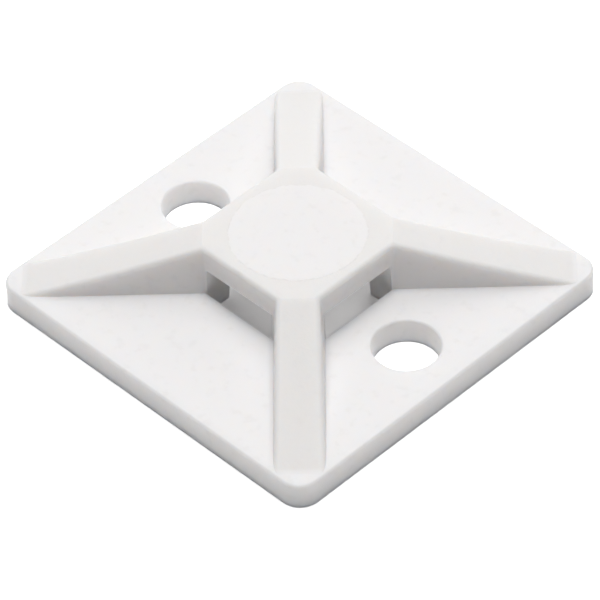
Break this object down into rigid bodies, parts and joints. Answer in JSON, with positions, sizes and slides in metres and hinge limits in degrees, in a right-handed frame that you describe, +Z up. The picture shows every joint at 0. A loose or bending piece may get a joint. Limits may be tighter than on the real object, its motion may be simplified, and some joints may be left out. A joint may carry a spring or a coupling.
{
  "type": "cable tie mount",
  "caption": "Square plastic base with a raised bridge on diagonal ribs. A cable tie threads under the bridge from any side, and screws or glue hold the base down.",
  "frame": {"origin": "middle of the square underside, which is the face that is screwed or glued down", "axes": "+Z up, out of the surface that the mount is fixed to. X runs through both screw holes, and the sides of the plate lie along X and Y"},
  "size_m": [0.028, 0.028, 0.0056],
  "materials": {
    "nylon": "natural white nylon with a fine matte moulded surface and a smoother round land on top"
  },
  "bodies": {
    "root": {"mount_body": "nylon"}
  },
  "joints": []
}
